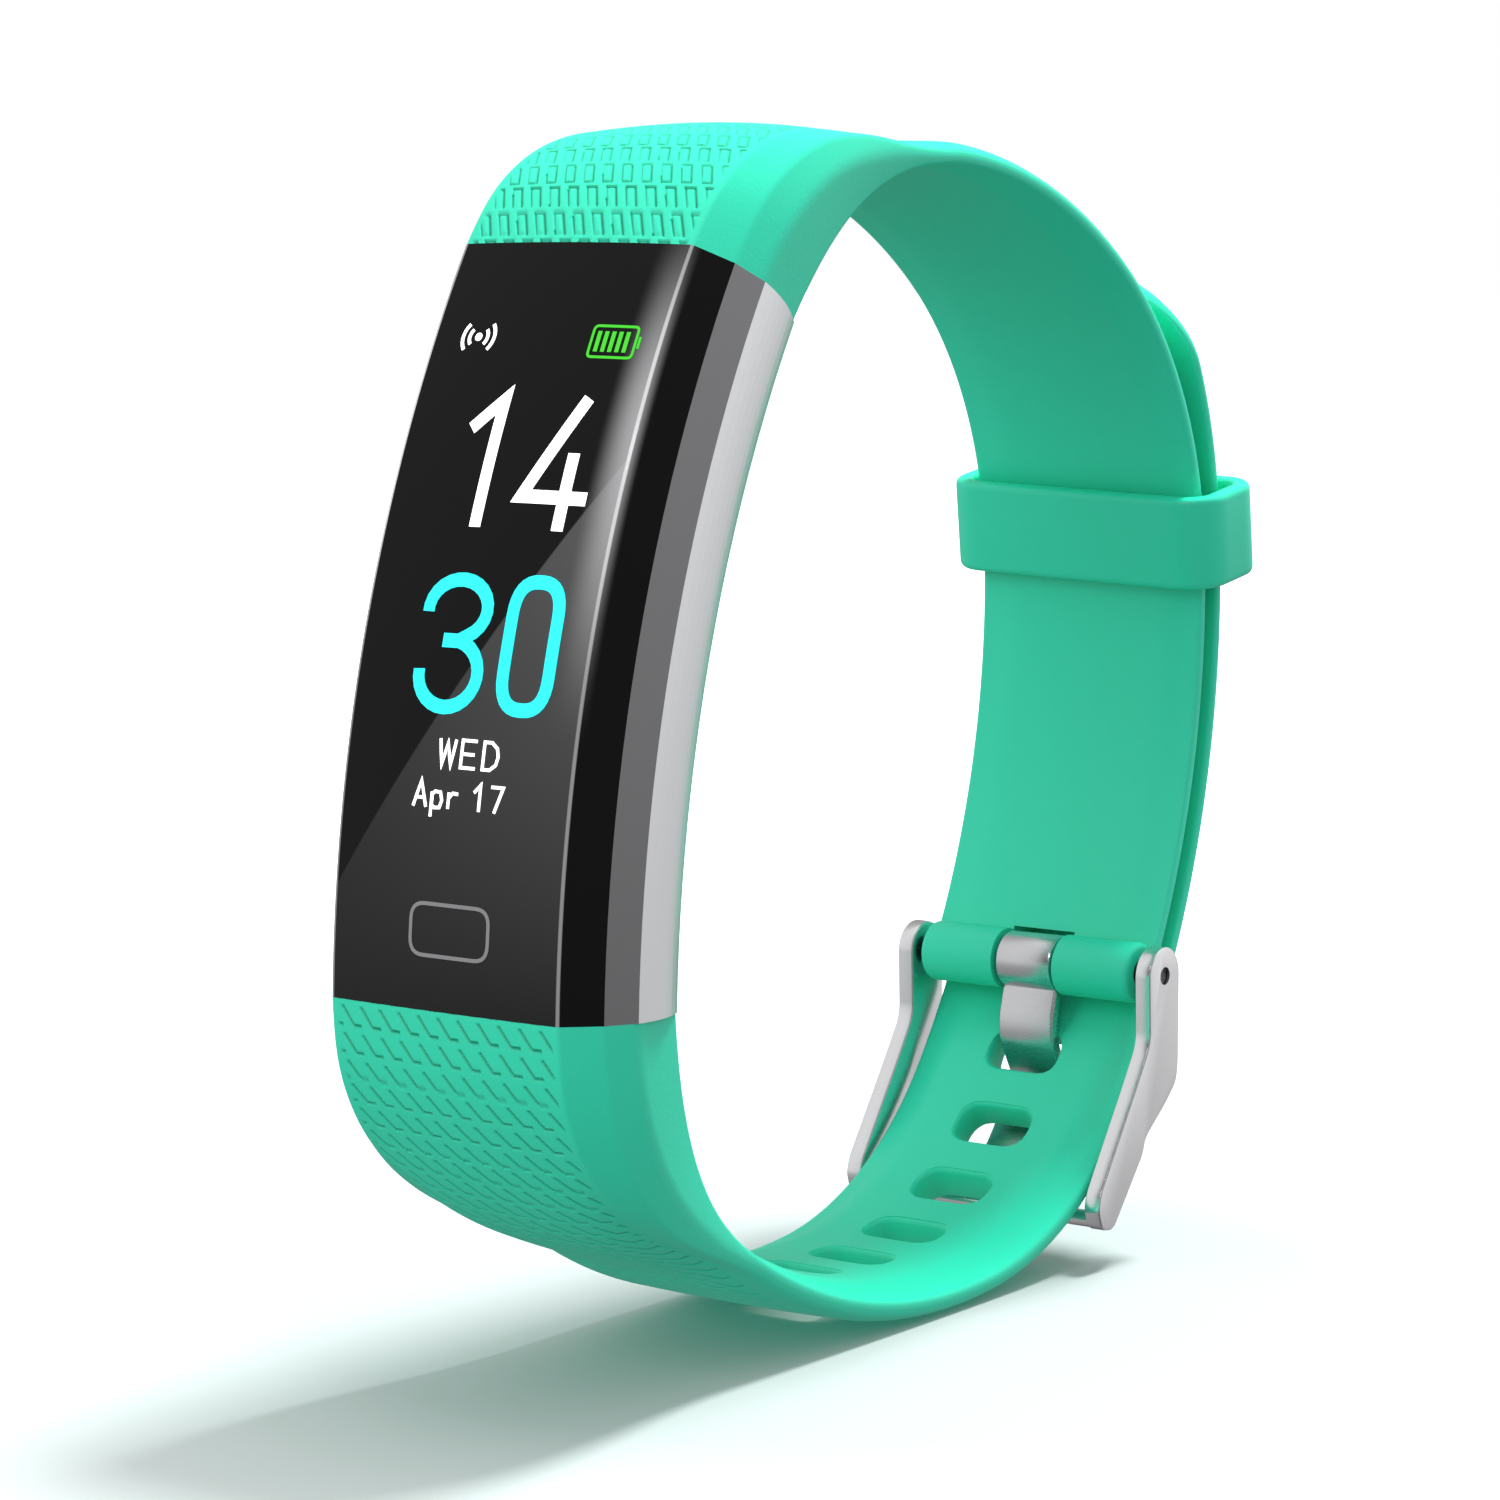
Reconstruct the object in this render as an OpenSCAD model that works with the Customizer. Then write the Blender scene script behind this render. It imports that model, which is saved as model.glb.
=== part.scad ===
// Fitness tracker band, closed as it is worn: a curved case, two TPU straps, a keeper and a pin buckle.
// X runs along the wrist, Y from the display to the buckle, Z up. Side views are drawn in the Y-Z plane.

/* [Tracker case] */
// Width of the front of the cover glass, between its bevels
glass_w = 15; // [14.6:0.1:15.2]
// Width of the case at its widest
case_w = 19.6; // [19.3:0.1:19.8]
// Depth of the case sides, front to back
case_d = 7.9; // [7.7:0.1:8.1]
// Radius of the curved front, seen from the side
case_r = 80; // [78:1:82]
// Angle that the curved front spans
case_arc = 29.4; // [29:0.1:30]
// How far the case leans back from upright, in degrees
case_lean = 16.3; // [15.5:0.1:17]
// Thickness of the cover glass
glass_t = 0.95; // [0.8:0.05:1.1]

/* [Straps] */
// Half width of the buckle strap behind the case
buckle_strap_half_w = 7.85; // [7.6:0.05:7.9]
// Half width of the hole strap behind the case
hole_strap_half_w = 7.7; // [7.5:0.05:7.8]
// Thickness of the buckle strap at the back of the loop
buckle_strap_t = 1.8; // [1.7:0.05:1.8]
// Thickness of the hole strap where the holes are
hole_strap_t = 1.25; // [1.1:0.05:1.3]
// Spacing of the adjusting holes
hole_pitch = 5.6; // [5.4:0.1:5.6]
// Length of a hole along the strap
hole_l = 2.7; // [2.7:0.05:2.8]
// Width of a hole across the strap
hole_w = 4.9; // [4.8:0.1:5.2]
// Number of adjusting holes
hole_count = 10; // [8:1:10]

/* [Keeper and buckle] */
// Height of the keeper along the strap
keeper_h = 5.7; // [5.2:0.1:5.8]
// Wall thickness of the keeper
keeper_wall = 1.2; // [1.1:0.05:1.3]
// Thickness of a buckle arm
arm_t = 1.1; // [1:0.05:1.2]
// Radius of the strap barrel that holds the spring bar
barrel_r = 1.85; // [1.75:0.05:1.9]
// Width of the buckle tongue
tongue_w = 3.9; // [3.6:0.1:4]
// Thickness of the buckle tongue
tongue_t = 0.8; // [0.7:0.05:0.8]

/* [Hidden] */

// The origin is under the middle of the loop, on the surface that the band stands on
loop_mid_y = 28.116;
loop_low_z = -41.381;

// Case: the corners of its cross-section, as half widths and depths behind the front
case_half_arc = case_arc / 2;
case_angle = 180 - case_lean;
case_centre = case_r * cos(case_half_arc) * [cos(case_lean), -sin(case_lean)];
facet_x = 9.05;
facet_d = 1.82;
waist_x = case_w / 2;
waist_d = 3.7;
back_x = 9.06;
crown = 0.23;
wall_in_x = 8.3;
trim_in_x = 8.9;
frame_d = 7.2;
trim_bulge = 0.28;
motor_y = 8;
cavity_half_arc = case_half_arc - 1.25;
cover_d = 9.3;
fit = 0.05;

// Straps: the inner face follows these arcs, [radius, degrees of turn], from the case round to the buckle
buckle_strap_arcs = [[20.9, -59.6], [32.4, -31.3], [22.7, -49.3], [47.3, -31.4]];
buckle_strap_start = 53.5;
hole_strap_arcs = [[18.6, 52.9], [36.7, 39.4], [21.1, 47.9], [49.6, 42], [28, 31]];
hole_strap_start = -86.2;
strap_ring_gap = 1.5;
root_turn_l = 8;
tip_l = 6;
first_hole_s = 33.3;
crown_t = 1.2;
strap_crown = 0.1;
buckle_side_t = 0.75;
hole_side_t = 0.9;
tail_side_t = 0.62;
buckle_pillow = 0.3;
hole_pillow = 0.85;
tail_pillow = 0.2;
root_pillow = 0.04;

// Plug and tab on the case ends, leaning with the straps they sit in
block_d = 4.5;
block_t = 2.2;
plug_l = 8;
plug_half_w = 6;
plug_lean = -0.36;
tab_l = 4.5;
tab_half_w = 5;
tab_lean = -0.3;
contact_t = 0.1;
pocket_gap = 0.15;

// Keeper and buckle places, as angles round the centre of the strap's rear arc
keeper_at = 4.9;
barrel_at = -28.3;
barrel_out = -0.2;
layer_gap = 2.3;

// Spring bar
tube_r = 0.85;
tube_bore_r = 0.62;
tube_half = 7.3;
lip_bore_r = 0.53;
lip_l = 0.5;
pin_r = 0.48;
flange_r = 0.57;
flange_l = 1.0;
pin_tip = 8.95;
arm_in_x = 8.05;
arm_hole_r = 0.54;
ring_bore_r = 0.92;
ring_r = 1.75;
notch_half = 2.2;
notch_top = 1.9;
barrel_half = 7.45;
keeper_gap = 0.45;
keeper_tilt = 4.5;
keeper_roll = 2;
spring_turns = 9;
spring_wire = 0.1;
spring_r = 0.42;
bar_r = 0.5;

// Outlines about the spring bar: the buckle arm, the middle of its far bar, and the middle line of the tongue
arm_outline = [
    [-1.75, 0], [-1.62, -4], [-3.1, -6.3], [-7.1, -12.2], [-7.35, -13.2], [-6.9, -14.4], [-5.6, -14.6],
    [-2.3, -10.6], [-1.95, -9.6], [0.4, -7.8], [1.55, -6.7], [1.75, -5.6], [1.75, 0],
];
bar_at = [-6.2, -13.95];
tongue_path = [
    [-0.3, -1.2], [-0.65, -2.4], [-0.9, -3.5], [-0.88, -4.5], [-0.5, -5.4], [0, -6.3], [0.4, -7.1],
    [0.45, -7.9], [0.05, -8.7], [-0.8, -9.6], [-2.1, -11.1], [-3.7, -12.9], [-5.4, -15],
];

function length_of(arc) = arc[0] * abs(arc[1]) * PI / 180;
function total_length(arcs, i = 0) = i == len(arcs) ? 0 : length_of(arcs[i]) + total_length(arcs, i + 1);

// Centre of an arc that leaves point p in direction a
function arc_centre(p, a, arc) = p + sign(arc[1]) * arc[0] * [-sin(a), cos(a)];

// Point and direction, [y, z, angle], at distance s along a chain of arcs
function along(arcs, p, a, s, i = 0) =
    let (arc = arcs[i], l = length_of(arc), last = i == len(arcs) - 1)
    let (t = sign(arc[1]) * (s < l || last ? s : l) / arc[0] * 180 / PI)
    let (c = arc_centre(p, a, arc), q = c + sign(arc[1]) * arc[0] * [sin(a + t), -cos(a + t)])
    s < l || last ? [q[0], q[1], a + t] : along(arcs, q, a + t, s - l, i + 1);

function case_point(angle, depth) = case_centre + (case_r - depth) * [cos(angle), sin(angle)];
top_angle = case_angle - case_half_arc;
bottom_angle = case_angle + case_half_arc;
buckle_strap_root = case_point(top_angle, case_d);
hole_strap_root = case_point(bottom_angle, case_d);
function buckle_path(s) = along(buckle_strap_arcs, buckle_strap_root, buckle_strap_start, s);
function hole_path(s) = along(hole_strap_arcs, hole_strap_root, hole_strap_start, s);
buckle_strap_l = total_length(buckle_strap_arcs);
hole_strap_l = total_length(hole_strap_arcs);

// Centre of the strap's rear arc, round which the keeper slides
rear_s = buckle_strap_l - length_of(buckle_strap_arcs[3]);
rear_start = buckle_path(rear_s);
rear_centre = arc_centre([rear_start[0], rear_start[1]], rear_start[2], buckle_strap_arcs[3]);
rear_r = buckle_strap_arcs[3][0];
function rear_point(angle, r) = rear_centre + r * [cos(angle), sin(angle)];
pivot = rear_point(barrel_at, rear_r + barrel_out);

function mix(a, b, t) = a + (b - a) * t;
function ease(t) = t <= 0 ? 0 : t >= 1 ? 1 : (1 - cos(180 * t)) / 2;

// Half cross-section of a strap: [half width, height above the inner face] from the inner face to the outer one
root_section = [
    [back_x * 0.77, -root_pillow], [back_x, 0], [waist_x, case_d - waist_d], [facet_x, case_d - facet_d],
    [glass_w / 2, case_d], [0, case_d + crown],
];
function thin_section(w, pillow, side, t) =
    [[w * 0.77, -pillow], [w, 0], [w * 1.008, side * 0.5], [w * 0.994, side], [w * 0.88, t], [0, t + strap_crown]];

// How far each of those points has left the case's section at distance s along the strap
function blends(s) = [
    ease((s - 8) / 14), ease(s / 18), ease((s - 2) / 17), ease((s - 2.5) / 17), ease((s - 1.5) / 16),
    ease((s - 1.5) / 17),
];
function strap_section(thin, s) =
    let (t = blends(s))
    [for (i = [0:5]) [mix(root_section[i][0], thin[i][0], t[i]), mix(root_section[i][1], thin[i][1], t[i])]];

// A ring of points across the strap at place [y, z, angle]; n is the direction out of the strap, side its handedness
function ring(half, place, n, side) =
    let (row = concat(half, [for (i = [4:-1:0]) [-half[i][0], half[i][1]]]))
    [for (p = row) [side * p[0], place[0] + p[1] * cos(n), place[1] + p[1] * sin(n)]];

module skin(rings) {
    n = len(rings[0]);
    last = len(rings) - 1;
    points = [for (r = rings) each r];
    sides = [for (i = [0:last - 1], j = [0:n - 1])
        let (a = i * n + j, b = i * n + (j + 1) % n)
        each [[a, b, a + n], [b, b + n, a + n]]];
    start_cap = [for (j = [n - 1:-1:0]) j];
    end_cap = [for (j = [0:n - 1]) last * n + j];
    polyhedron(points, concat(sides, [start_cap], [end_cap]));
}

// Turns a drawing made in Y and Z into the side plane, extruding along +X
module side_plane() {
    rotate([90, 0, 90]) children();
}

// Moves the loop's own coordinates to the origin under it
module placed() {
    translate([0, -loop_mid_y, -loop_low_z]) children();
}

// A place on the case front: x outwards, y down the case, z along +X
module on_case(angle = 0) {
    placed() side_plane() translate(case_centre) rotate(case_angle + angle) translate([case_r, 0, 0]) children();
}

// A part of the case that follows its curve: children draw [radius, x]
module case_sweep(half_arc) {
    placed() side_plane() translate(case_centre) rotate(case_angle - half_arc)
        rotate_extrude(angle = 2 * half_arc, $fn = 360) children();
}

module case_box(depth, length, half_width) {
    translate([-depth[1], length[0], -half_width])
        cube([depth[1] - depth[0], length[1] - length[0], 2 * half_width]);
}

module case_section(points) {
    polygon([for (p = points) [case_r - p[1], p[0]]]);
}

function crown_line(depth, half, bulge, steps) =
    [for (i = [0:steps]) let (x = mix(half, -half, i / steps)) [x, depth - bulge * (1 - pow(x / half, 2))]];

module cover_glass() {
    half = glass_w / 2;
    outer = crown_line(0, half, crown, 12);
    edge = [[facet_x, facet_d], [wall_in_x + 0.1, facet_d], [half - 0.4, glass_t]];
    color([0.03, 0.03, 0.035]) case_sweep(case_half_arc)
        case_section(concat(outer, [for (p = edge) [-p[0], p[1]]], [for (i = [2:-1:0]) edge[i]]));
}

module bezel_frame() {
    color([0.33, 0.33, 0.34]) difference() {
        case_sweep(case_half_arc) case_section([
            [facet_x, facet_d], [waist_x, waist_d], [trim_in_x, waist_d], [trim_in_x, frame_d],
            [-trim_in_x, frame_d], [-trim_in_x, waist_d], [-waist_x, waist_d], [-facet_x, facet_d],
        ]);
        case_sweep(cavity_half_arc)
            case_section([[wall_in_x, 1], [wall_in_x, 8], [-wall_in_x, 8], [-wall_in_x, 1]]);
    }
}

module side_trim(side) {
    outer = [for (i = [0:8]) let (t = i / 8)
        [mix(waist_x, back_x, t * t) + trim_bulge * 4 * t * (1 - t) * 0.5, mix(waist_d, case_d, t)]];
    color([0.78, 0.79, 0.8]) case_sweep(case_half_arc)
        case_section([for (p = concat(outer, [[trim_in_x, case_d], [trim_in_x, waist_d]])) [side * p[0], p[1]]]);
}

module side_trim_left() {
    side_trim(-1);
}

module side_trim_right() {
    side_trim(1);
}

module back_cover() {
    color([0.07, 0.07, 0.08]) difference() {
        case_sweep(case_half_arc - 0.3) case_section([
            [trim_in_x, frame_d + 0.3], [trim_in_x, case_d], [7.4, cover_d], [-7.4, cover_d],
            [-trim_in_x, case_d], [-trim_in_x, frame_d + 0.3],
        ]);
        on_case() case_box([frame_d - 0.5, 8.4], [-5, 5], 5);
        on_case() translate([-12, 0, 0]) rotate([0, 90, 0]) cylinder(h = 6, r = 4.2, $fn = 64);
    }
}

module case_gasket() {
    color([0.15, 0.15, 0.16]) difference() {
        case_sweep(case_half_arc - 0.3) case_section([
            [trim_in_x, frame_d], [trim_in_x, frame_d + 0.3], [-trim_in_x, frame_d + 0.3], [-trim_in_x, frame_d],
        ]);
        case_sweep(cavity_half_arc)
            case_section([[wall_in_x, 7], [wall_in_x, 8], [-wall_in_x, 8], [-wall_in_x, 7]]);
    }
}

module sensor_window() {
    color([0.05, 0.06, 0.06]) on_case() translate([-10.5, 0, 0]) rotate([0, 90, 0])
        difference() {
            cylinder(h = 2.05, r = 4.15, $fn = 64);
            translate([0, 0, 0.9]) cylinder(h = 2, r = 3.4, $fn = 64);
        }
}

module sensor_board() {
    color([0.1, 0.35, 0.2]) on_case() case_box([7.55, 7.95], [-4.6, 4.6], 4.6);
}

module sensor_leds() {
    color([0.3, 0.95, 0.4]) on_case()
        for (side = [-1, 1]) translate([-8.65, side * 2.1 - 0.8, -0.5]) cube([0.65, 1.6, 1]);
}

module photodiode() {
    color([0.1, 0.1, 0.14]) on_case() translate([-8.6, -0.9, -0.9]) cube([0.6, 1.8, 1.8]);
}

module display_panel() {
    color([0.08, 0.08, 0.1]) on_case() case_box([2.15, 3.45], [-12.4, 12.4], 6.7);
}

module display_cable() {
    color([0.75, 0.45, 0.15]) on_case() case_box([3.5, 3.65], [6, 12.2], 4);
}

module touch_electrode() {
    color([0.8, 0.5, 0.25]) on_case(11.2) case_box([1.15, 1.3], [-2, 2], 2.6);
}

module main_board() {
    color([0.05, 0.3, 0.18]) on_case() case_box([3.7, 4.3], [-15.5, 15.5], 7.5);
}

module board_chips() {
    color([0.08, 0.08, 0.09]) on_case() {
        case_box([4.35, 5.1], [13, 15.2], 2.5);
        translate([-5, 4, 5]) cube([0.65, 3, 2]);
        translate([-5, 9, 5]) cube([0.65, 3, 2]);
        translate([-5, 5, -7]) cube([0.65, 4, 2]);
    }
}

module battery() {
    color([0.72, 0.73, 0.75]) on_case() case_box([4.45, 6.95], [-15, 2.5], 6.8);
}

module motor_can() {
    color([0.7, 0.7, 0.72]) on_case() translate([-6.95, motor_y, 0]) rotate([0, 90, 0]) {
        difference() {
            cylinder(h = 2.3, r = 3.6, $fn = 64);
            translate([0, 0, 0.3]) cylinder(h = 1.7, r = 3.3, $fn = 64);
        }
        cylinder(h = 2.2, r = 0.4, $fn = 32);
    }
}

module motor_rotor() {
    color([0.55, 0.5, 0.42]) on_case() translate([-6.95, motor_y, 0]) rotate([0, 90, 0])
        translate([0, 0, 0.55]) difference() {
            union() {
                cylinder(h = 1.2, r = 1, $fn = 48);
                rotate_extrude(angle = 180, $fn = 96) square([3, 1.2]);
            }
            translate([0, 0, -1]) cylinder(h = 4, r = 0.45, $fn = 32);
        }
}

// The plug and the tab stand out of the case ends and sit in pockets in the straps
module at_end(angle) {
    placed() side_plane() translate(case_point(angle, block_d)) rotate(angle) children();
}

// A block from y = l0 to l1 away from the case end (dir -1 up, 1 down), between x0 and x1, leaning with the strap
module lean_block(dir, lean, x0, x1, l0, l1, half_w) {
    translate([0, 0, -half_w]) linear_extrude(height = 2 * half_w)
        polygon([for (p = [[x0, l0], [x1, l0], [x1, l1], [x0, l1]]) [p[0] + lean * p[1], dir * p[1]]]);
}

module end_block(dir, lean, l, half_w) {
    lean_block(dir, lean, -block_t / 2, block_t / 2, 0, l, half_w);
}

module end_pocket(dir, lean, l, half_w) {
    half_t = block_t / 2 + pocket_gap;
    lean_block(dir, lean, -half_t, half_t, -1, l + pocket_gap, half_w + pocket_gap);
}

module usb_plug() {
    color([0.09, 0.09, 0.1]) at_end(top_angle) end_block(-1, plug_lean, plug_l, plug_half_w);
}

module usb_contacts() {
    color([0.85, 0.68, 0.25]) at_end(top_angle) for (x = [-3.5, -1, 1, 3.5])
        translate([0, 0, x])
            lean_block(-1, plug_lean, -block_t / 2 - contact_t, -block_t / 2, 0.6, plug_l - 0.8, 0.5);
}

module end_tab() {
    color([0.09, 0.09, 0.1]) at_end(bottom_angle) end_block(1, tab_lean, tab_l, tab_half_w);
}

// Each strap's outward direction starts square to the case end and turns to its own path
function turn_in(s) = max(0, 1 - s / root_turn_l);

buckle_rings = [for (i = [0:ceil(buckle_strap_l / strap_ring_gap)])
    let (s = min(i * strap_ring_gap, buckle_strap_l), place = buckle_path(s))
    let (n = place[2] + 90 + (top_angle - buckle_strap_start - 90) * turn_in(s))
    let (h = mix(crown_t, buckle_strap_t, ease((s - 45) / 14)))
    let (thin = thin_section(buckle_strap_half_w, buckle_pillow, buckle_side_t, h))
    ring(strap_section(thin, s), place, n, 1)];

module buckle_strap() {
    color([0.2, 0.8, 0.66]) difference() {
        union() {
            placed() skin(buckle_rings);
            at_pivot() cylinder(h = 2 * barrel_half, r = barrel_r, center = true, $fn = 64);
        }
        at_pivot() cylinder(h = 40, r = tube_r + 0.02, center = true, $fn = 48);
        at_pivot() translate([-5, -5, -notch_half]) cube([10, 5 + notch_top, 2 * notch_half]);
        at_end(top_angle) end_pocket(-1, plug_lean, plug_l, plug_half_w);
    }
}

// Half width of the hole strap near its rounded tip
function tip_w(w, s) =
    let (u = max(0, s - (hole_strap_l - tip_l)) / tip_l)
    w * (0.25 + 0.75 * sqrt(max(0, 1 - u * u)));

hole_rings = [for (i = [0:ceil(hole_strap_l / strap_ring_gap)])
    let (s = min(i * strap_ring_gap, hole_strap_l), place = hole_path(s))
    let (n = place[2] - 90 + (bottom_angle - hole_strap_start - 270) * turn_in(s))
    let (side_t = mix(hole_side_t, tail_side_t, ease((s - 50) / 12)))
    let (pillow = mix(hole_pillow, tail_pillow, ease((s - 60) / 6)))
    let (thin = thin_section(tip_w(hole_strap_half_w, s), pillow, side_t, hole_strap_t))
    ring(strap_section(thin, s), place, n, -1)];

module strap_slot(s) {
    place = hole_path(s);
    placed() side_plane() translate([place[0], place[1], 0]) rotate(place[2] - 90) rotate([0, 90, 0])
        linear_extrude(height = 8, center = true) {
            square([hole_w - hole_l * 0.7, hole_l], center = true);
            square([hole_w, hole_l * 0.3], center = true);
            for (x = [-1, 1], y = [-1, 1])
                translate([x * (hole_w / 2 - hole_l * 0.35), y * hole_l * 0.15]) circle(r = hole_l * 0.35, $fn = 32);
        }
}

module hole_strap() {
    color([0.2, 0.8, 0.66]) difference() {
        placed() skin(hole_rings);
        for (i = [0:hole_count - 1]) strap_slot(first_hole_s + i * hole_pitch);
        at_end(bottom_angle) end_pocket(1, tab_lean, tab_l, tab_half_w);
    }
}

// Places on the rear arc: x outwards, y up along the strap, z along +X
module on_rear(angle) {
    placed() side_plane() translate(rear_centre) rotate(angle) children();
}

module rounded_slab(w, h, r) {
    square([w, h - 2 * r], center = true);
    square([w - 2 * r, h], center = true);
    for (x = [-1, 1], y = [-1, 1]) translate([x * (w / 2 - r), y * (h / 2 - r)]) circle(r = r, $fn = 48);
}

module keeper() {
    inside = rear_r - buckle_pillow - keeper_gap;
    outside = rear_r + layer_gap + hole_strap_t + keeper_gap;
    half = buckle_strap_half_w + keeper_gap;
    color([0.2, 0.8, 0.66]) on_rear(keeper_at) translate([(inside + outside) / 2, 0, 0])
        rotate([keeper_roll, 0, keeper_tilt]) rotate([90, 0, 0])
            linear_extrude(height = keeper_h, center = true) difference() {
                rounded_slab(outside - inside + 2 * keeper_wall, 2 * (half + keeper_wall), 2.4);
                rounded_slab(outside - inside, 2 * half, 0.9);
            }
}

module at_pivot() {
    placed() side_plane() translate(pivot) children();
}

module spring_bar_tube() {
    color([0.8, 0.8, 0.82]) at_pivot() difference() {
        cylinder(h = 2 * tube_half, r = tube_r, center = true, $fn = 48);
        cylinder(h = 2 * (tube_half - lip_l), r = tube_bore_r, center = true, $fn = 48);
        cylinder(h = 2 * tube_half + 1, r = lip_bore_r, center = true, $fn = 48);
    }
}

module spring_bar_pin(side) {
    flange = tube_half - lip_l - flange_l - fit;
    color([0.75, 0.75, 0.77]) at_pivot() mirror([0, 0, side > 0 ? 0 : 1]) {
        translate([0, 0, flange]) cylinder(h = pin_tip - flange, r = pin_r, $fn = 48);
        translate([0, 0, flange]) cylinder(h = flange_l, r = flange_r, $fn = 48);
    }
}

module spring_bar_pin_left() {
    spring_bar_pin(-1);
}

module spring_bar_pin_right() {
    spring_bar_pin(1);
}

// A small coil spring between the two pins
module spring_bar_spring() {
    steps = spring_turns * 12;
    half = tube_half - lip_l - flange_l - 3 * fit - spring_wire;
    color([0.6, 0.6, 0.62]) at_pivot() skin([for (i = [0:steps])
        let (turn = i * 30, z = mix(-half, half, i / steps))
        [for (k = [0:4]) let (r = spring_r + spring_wire * cos(-k * 72))
            [r * cos(turn), r * sin(turn), z + spring_wire * sin(-k * 72)]]]);
}

module buckle_arm() {
    difference() {
        linear_extrude(height = arm_t) {
            polygon(arm_outline);
            circle(r = 1.75, $fn = 64);
        }
        translate([0, 0, -1]) cylinder(h = arm_t + 2, r = arm_hole_r, $fn = 48);
    }
}

module buckle_frame() {
    color([0.8, 0.8, 0.81]) at_pivot() {
        translate([0, 0, arm_in_x]) buckle_arm();
        translate([0, 0, -arm_in_x - arm_t]) buckle_arm();
        translate(bar_at) cylinder(h = 2 * arm_in_x + arm_t, r = bar_r, center = true, $fn = 48);
    }
}

// Buckle tongue: a rolled ring, then a strip that goes out through a hole and lies over the far bar
function unit(v) = v / norm(v);
function side_of(path, i) =
    let (d = unit(path[min(i + 1, len(path) - 1)] - path[max(i - 1, 0)]))
    [-d[1], d[0]];

module buckle_tongue() {
    last = len(tongue_path) - 1;
    edge = [for (i = [0:last]) tongue_path[i] + side_of(tongue_path, i) * tongue_t / 2];
    back = [for (i = [last:-1:0]) tongue_path[i] - side_of(tongue_path, i) * tongue_t / 2];
    color([0.72, 0.72, 0.74]) at_pivot() difference() {
        linear_extrude(height = tongue_w, center = true) union() {
            circle(r = ring_r, $fn = 64);
            polygon(concat(edge, back));
        }
        cylinder(h = 20, r = ring_bore_r, center = true, $fn = 48);
    }
}

cover_glass();
bezel_frame();
side_trim_left();
side_trim_right();
back_cover();
case_gasket();
sensor_window();
sensor_board();
sensor_leds();
photodiode();
display_panel();
display_cable();
touch_electrode();
main_board();
board_chips();
battery();
motor_can();
motor_rotor();
usb_plug();
usb_contacts();
end_tab();
buckle_strap();
hole_strap();
keeper();
spring_bar_tube();
spring_bar_spring();
spring_bar_pin_left();
spring_bar_pin_right();
buckle_frame();
buckle_tongue();
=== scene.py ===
import math

import bmesh
import bpy
import numpy as np
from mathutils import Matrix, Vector


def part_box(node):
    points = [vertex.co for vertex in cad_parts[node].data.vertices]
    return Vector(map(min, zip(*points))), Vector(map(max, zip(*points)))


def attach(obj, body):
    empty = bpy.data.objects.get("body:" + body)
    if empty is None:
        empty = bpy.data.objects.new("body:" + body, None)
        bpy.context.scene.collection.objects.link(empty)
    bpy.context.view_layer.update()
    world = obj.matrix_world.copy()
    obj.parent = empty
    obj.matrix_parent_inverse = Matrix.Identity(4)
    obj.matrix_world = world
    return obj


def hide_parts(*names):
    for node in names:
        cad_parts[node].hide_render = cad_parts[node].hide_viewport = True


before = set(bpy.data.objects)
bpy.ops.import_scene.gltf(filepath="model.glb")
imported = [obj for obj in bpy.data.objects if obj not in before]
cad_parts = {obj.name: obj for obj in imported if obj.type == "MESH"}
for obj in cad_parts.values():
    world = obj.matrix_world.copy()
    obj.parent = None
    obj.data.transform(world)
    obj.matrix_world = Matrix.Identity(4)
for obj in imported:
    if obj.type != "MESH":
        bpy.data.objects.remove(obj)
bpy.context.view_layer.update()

MM = 0.001

# ---------------------------------------------------------------- the band's own side-view frame, in mm
CASE_R = 80.0
CASE_ARC = 29.4
CASE_LEAN = 16.3
CASE_DEPTH = 7.9
GLASS_W = 15.0
CROWN = 0.23
FACET = (9.05, 1.82)
WAIST = (9.8, 3.7)
BACK_X = 9.06
BUCKLE_ARCS = [(20.9, -59.6), (32.4, -31.3), (22.7, -49.3), (47.3, -31.4)]
BUCKLE_START = 53.5
HOLE_ARCS = [(18.6, 52.9), (36.7, 39.4), (21.1, 47.9), (49.6, 42.0), (28.0, 31.0)]
HOLE_START = -86.2
FIRST_HOLE, HOLE_PITCH, HOLE_COUNT = 33.3, 5.6, 10
HOLE_L, HOLE_W = 2.7, 4.9
BARREL_R, BARREL_HALF, NOTCH_HALF, STRAP_BORE_R = 1.85, 7.45, 2.2, 0.87
REAR_R = BUCKLE_ARCS[3][0]


def rad(a):
    return a * math.pi / 180


def direction(a):
    return np.array([math.cos(rad(a)), math.sin(rad(a))])


CASE_ANGLE = 180 - CASE_LEAN
CASE_HALF = CASE_ARC / 2
CASE_CENTRE = CASE_R * math.cos(rad(CASE_HALF)) * direction(-CASE_LEAN)
TOP_ANGLE = CASE_ANGLE - CASE_HALF
BOTTOM_ANGLE = CASE_ANGLE + CASE_HALF


def case_point(angle, depth):
    return CASE_CENTRE + (CASE_R - depth) * direction(angle)


def arc_length(arc):
    return arc[0] * abs(rad(arc[1]))


def arc_centre(p, a, arc):
    return p + np.sign(arc[1]) * arc[0] * np.array([-math.sin(rad(a)), math.cos(rad(a))])


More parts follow.
